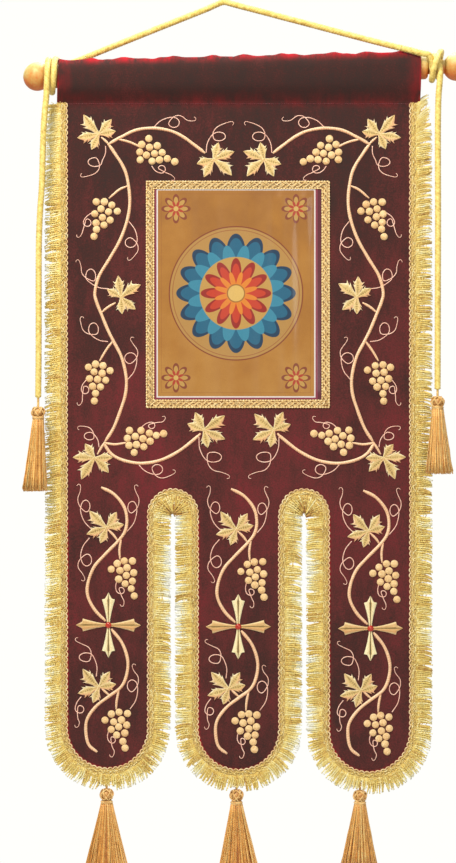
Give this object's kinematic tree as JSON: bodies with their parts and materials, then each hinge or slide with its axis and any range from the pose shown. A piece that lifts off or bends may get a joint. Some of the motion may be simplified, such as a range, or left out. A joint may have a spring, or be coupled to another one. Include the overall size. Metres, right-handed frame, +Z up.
{
  "type": "church banner on a hanging rod",
  "caption": "Hanging velvet banner with round-ended lappets, vine embroidery, a framed picture panel, gold fringe and tassels, on a rod hung by a cord.",
  "frame": {"origin": "underside of the hanging cord at its highest bend, where a hook holds it", "axes": "+Z up, +Y away from the viewer of the embroidered front, +X to that viewer's right"},
  "size_m": [0.8063, 0.0872, 1.5809],
  "materials": {
    "velvet": "dark burgundy velvet pile with a red sheen",
    "gilt": "satin gilding on turned wood",
    "cord": "twisted gold rayon cord",
    "fringe": "pale gold metallic fringe and looped braid",
    "tassel": "orange gold rayon strands",
    "braid": "woven gold braid",
    "picture": "printed cloth with a low gloss and soft creases",
    "stitch_gold": "padded satin stitch in warm gold thread",
    "stitch_cream": "satin stitch in pale gold thread",
    "stone": "polished red cabochon"
  },
  "bodies": {
    "root": {"velvet_banner": "velvet", "rod": "gilt", "ball_left": "gilt", "ball_right": "gilt", "cord_left": "cord", "cord_top": "cord", "cord_right": "cord", "tassel_cord_left": "tassel", "tassel_cord_right": "tassel", "tassel_lappet_left": "tassel", "tassel_lappet_middle": "tassel", "tassel_lappet_right": "tassel", "fringe": "fringe", "picture_panel": "picture", "picture_braid": "braid", "vine_left": "stitch_gold", "vine_right": "stitch_gold", "stem_left_upper": "stitch_gold", "stem_left_lower": "stitch_gold", "stem_middle_upper": "stitch_gold", "stem_middle_lower": "stitch_gold", "stem_right_upper": "stitch_gold", "stem_right_lower": "stitch_gold", "cross_left": "stitch_gold", "cross_middle": "stitch_gold", "cross_right": "stitch_gold", "stone_left": "stone", "stone_middle": "stone", "stone_right": "stone", "leaf_left_1": "stitch_cream", "leaf_left_2": "stitch_cream", "leaf_left_3": "stitch_cream", "leaf_left_4": "stitch_cream", "leaf_left_5": "stitch_cream", "leaf_right_1": "stitch_cream", "leaf_right_2": "stitch_cream", "leaf_right_3": "stitch_cream", "leaf_right_4": "stitch_cream", "leaf_right_5": "stitch_cream", "leaf_left_upper": "stitch_cream", "leaf_left_lower": "stitch_cream", "leaf_middle_upper": "stitch_cream", "leaf_middle_lower": "stitch_cream", "leaf_right_upper": "stitch_cream", "leaf_right_lower": "stitch_cream", "bunch_left_1": "stitch_cream", "bunch_left_2": "stitch_cream", "bunch_left_3": "stitch_cream", "bunch_left_4": "stitch_cream", "bunch_right_1": "stitch_cream", "bunch_right_2": "stitch_cream", "bunch_right_3": "stitch_cream", "bunch_right_4": "stitch_cream", "bunch_left_upper": "stitch_cream", "bunch_left_lower": "stitch_cream", "bunch_middle_upper": "stitch_cream", "bunch_middle_lower": "stitch_cream", "bunch_right_upper": "stitch_cream", "bunch_right_lower": "stitch_cream"}
  },
  "joints": []
}
